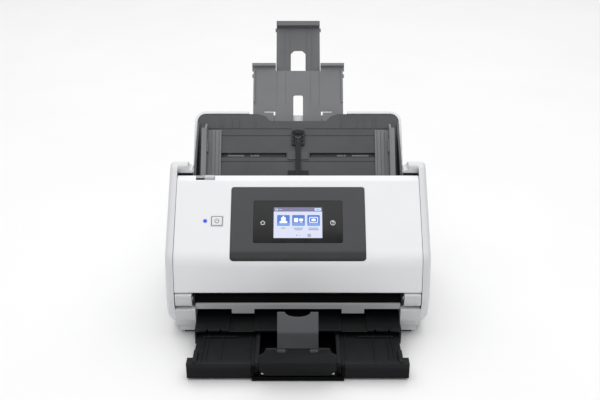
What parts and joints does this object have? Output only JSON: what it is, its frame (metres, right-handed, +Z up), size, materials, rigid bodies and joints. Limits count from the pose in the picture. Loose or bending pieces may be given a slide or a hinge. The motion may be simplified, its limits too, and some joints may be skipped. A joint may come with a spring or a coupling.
{
  "type": "sheet fed document scanner",
  "caption": "Upright sheet fed document scanner with sloped front, colour touch panel, reclined input tray with sliding edge guides and extensions, and a pull-out output tray with folding stopper.",
  "frame": {"origin": "on the table, on the centre line, below the middle of the footprint with both trays out", "axes": "+X across the paper, to the right seen from the front; +Y from the front to the rear; +Z up"},
  "size_m": [0.296, 0.3379, 0.3061],
  "materials": {
    "white_plastic": "satin",
    "panel_plastic": "fine texture",
    "tray_plastic": "fine texture",
    "black_plastic": "fine texture",
    "grey_plastic": "fine texture",
    "button_plastic": "satin",
    "nylon": "satin",
    "rubber": "matte",
    "steel": "ground",
    "black_glass": "polished",
    "clear_glass": "polished",
    "display": "lit",
    "board": "lacquered",
    "blue_light": "lit",
    "brass": "machined"
  },
  "bodies": {
    "base": {"base_frame": "grey_plastic", "left_side_cover": "white_plastic", "right_side_cover": "white_plastic", "rear_cover": "white_plastic", "left_foot_block": "white_plastic", "right_foot_block": "white_plastic", "rubber_feet": "rubber", "lower_guide": "black_plastic", "exit_lip": "grey_plastic", "lower_scan_unit": "black_plastic", "lower_scan_glass": "clear_glass", "timing_belt": "rubber", "feed_motor": "steel", "main_board": "board", "power_inlet": "black_plastic", "usb_port": "steel", "network_port": "steel", "hinge_pins": "steel", "input_tray": "tray_plastic", "tray_shell": "white_plastic", "roller_cover": "tray_plastic", "case_screws": "steel"},
    "cover": {"front_cover": "white_plastic", "cover_hinge_arms": "white_plastic", "cover_guide": "black_plastic", "upper_scan_unit": "black_plastic", "upper_scan_glass": "clear_glass", "panel_bezel": "panel_plastic", "touch_glass": "black_glass", "display": "display", "panel_board": "board", "power_light": "blue_light"},
    "power_key": {"power_button": "button_plastic"},
    "selector": {"feed_selector": "grey_plastic"},
    "separation": {"separation_roller": "rubber"},
    "pinch": {"pinch_rollers": "steel"},
    "exit_pinch": {"exit_pinch_rollers": "steel"},
    "drive": {"drive_shaft": "steel", "drive_tyres": "rubber", "drive_gear": "nylon"},
    "exit_roller": {"exit_shaft": "steel", "exit_tyres": "rubber"},
    "pickup": {"pickup_shaft": "steel", "pickup_tyres": "rubber", "pickup_gear": "nylon"},
    "idler": {"idler_gear": "nylon"},
    "pinion": {"motor_pinion": "brass"},
    "latch": {"cover_latch": "grey_plastic"},
    "left_guide": {"left_edge_guide": "grey_plastic"},
    "right_guide": {"right_edge_guide": "grey_plastic"},
    "rack_pinion": {"guide_pinion": "nylon"},
    "extension": {"tray_extension": "grey_plastic"},
    "end_extension": {"tray_end_extension": "grey_plastic"},
    "tray_rear_stage": {"output_tray": "black_plastic"},
    "tray_front_stage": {"output_tray_front": "black_plastic"},
    "stopper_slider": {"stopper_base": "black_plastic", "stopper_pins": "steel"},
    "stopper": {"stopper_plate": "black_plastic", "tip_pins": "steel"},
    "stopper_end": {"stopper_tip": "grey_plastic"}
  },
  "joints": [
    {"name": "cover_open", "type": "hinge", "parent": "base", "child": "cover", "pos_m": [0, -0.08251, 0.051], "axis": [1, 0, 0], "range_deg": [0, 60]},
    {"name": "power_press", "type": "slide", "parent": "cover", "child": "power_key", "axis": [0, 0.6909, -0.723], "range_m": [0, 0.0008], "stiffness_N_per_m": 500},
    {"name": "selector_slide", "type": "slide", "parent": "cover", "child": "selector", "axis": [-1, 0, 0], "range_m": [0, 0.0095]},
    {"name": "separation_spin", "type": "hinge", "parent": "cover", "child": "separation", "pos_m": [0, 0.00456, 0.13426], "axis": [1, 0, 0], "continuous": true},
    {"name": "pinch_spin", "type": "hinge", "parent": "cover", "child": "pinch", "pos_m": [0, -0.01943, 0.10984], "axis": [1, 0, 0], "continuous": true},
    {"name": "exit_pinch_spin", "type": "hinge", "parent": "cover", "child": "exit_pinch", "pos_m": [0, -0.07399, 0.06598], "axis": [1, 0, 0], "continuous": true},
    {"name": "drive_spin", "type": "hinge", "parent": "base", "child": "drive", "pos_m": [0, -0.01104, 0.0994], "axis": [1, 0, 0], "continuous": true},
    {"name": "exit_spin", "type": "hinge", "parent": "base", "child": "exit_roller", "pos_m": [0, -0.06622, 0.05632], "axis": [1, 0, 0], "continuous": true},
    {"name": "pickup_spin", "type": "hinge", "parent": "base", "child": "pickup", "pos_m": [0, 0.01797, 0.11759], "axis": [1, 0, 0], "continuous": true},
    {"name": "idler_spin", "type": "hinge", "parent": "base", "child": "idler", "pos_m": [-0.13, 0.01295, 0.1003], "axis": [1, 0, 0], "continuous": true},
    {"name": "motor_spin", "type": "hinge", "parent": "base", "child": "pinion", "pos_m": [-0.13, -0.00044, 0.08012], "axis": [1, 0, 0], "continuous": true},
    {"name": "latch_turn", "type": "hinge", "parent": "base", "child": "latch", "pos_m": [0, 0.03649, 0.104], "axis": [-1, 0, 0], "range_deg": [0, 12], "stiffness_Nm_per_rad": 0.4},
    {"name": "left_guide_slide", "type": "slide", "parent": "base", "child": "left_guide", "axis": [1, 0, 0], "range_m": [0, 0.08]},
    {"name": "right_guide_slide", "type": "slide", "parent": "base", "child": "right_guide", "axis": [-1, 0, 0], "range_m": [0, 0.08]},
    {"name": "rack_pinion_spin", "type": "hinge", "parent": "base", "child": "rack_pinion", "pos_m": [0, 0.04786, 0.1706], "axis": [0, -0.7848, 0.6198], "range_deg": [0, 574]},
    {"name": "extension_slide", "type": "slide", "parent": "base", "child": "extension", "axis": [0, -0.6198, -0.7848], "range_m": [0, 0.055]},
    {"name": "end_extension_slide", "type": "slide", "parent": "extension", "child": "end_extension", "axis": [0, -0.6198, -0.7848], "range_m": [0, 0.058]},
    {"name": "rear_stage_slide", "type": "slide", "parent": "base", "child": "tray_rear_stage", "axis": [0, 1, 0], "range_m": [0, 0.03]},
    {"name": "front_stage_slide", "type": "slide", "parent": "tray_rear_stage", "child": "tray_front_stage", "axis": [0, 1, 0], "range_m": [0, 0.03]},
    {"name": "stopper_slide", "type": "slide", "parent": "tray_front_stage", "child": "stopper_slider", "axis": [0, -1, 0], "range_m": [0, 0.045]},
    {"name": "stopper_fold", "type": "hinge", "parent": "stopper_slider", "child": "stopper", "pos_m": [0, -0.16531, 0.0086], "axis": [-1, 0, 0], "range_deg": [0, 84]},
    {"name": "stopper_end_fold", "type": "hinge", "parent": "stopper", "child": "stopper_end", "pos_m": [0, -0.16831, 0.0404], "axis": [1, 0, 0], "range_deg": [0, 200]}
  ],
  "couplings": [
    {"joint": "right_guide_slide", "follows": "left_guide_slide", "ratio": 1},
    {"joint": "rack_pinion_spin", "follows": "left_guide_slide", "rad_per_m": 125},
    {"joint": "exit_spin", "follows": "drive_spin", "ratio": 1.1852},
    {"joint": "pickup_spin", "follows": "drive_spin", "ratio": 1.6},
    {"joint": "idler_spin", "follows": "drive_spin", "ratio": -2},
    {"joint": "motor_spin", "follows": "drive_spin", "ratio": -2.6667},
    {"joint": "pinch_spin", "follows": "drive_spin", "ratio": -1.6},
    {"joint": "exit_pinch_spin", "follows": "drive_spin", "ratio": -1.6593},
    {"joint": "separation_spin", "follows": "drive_spin", "ratio": -2.1333},
    {"joint": "stopper_end_fold", "follows": "stopper_fold", "ratio": 2.381}
  ]
}
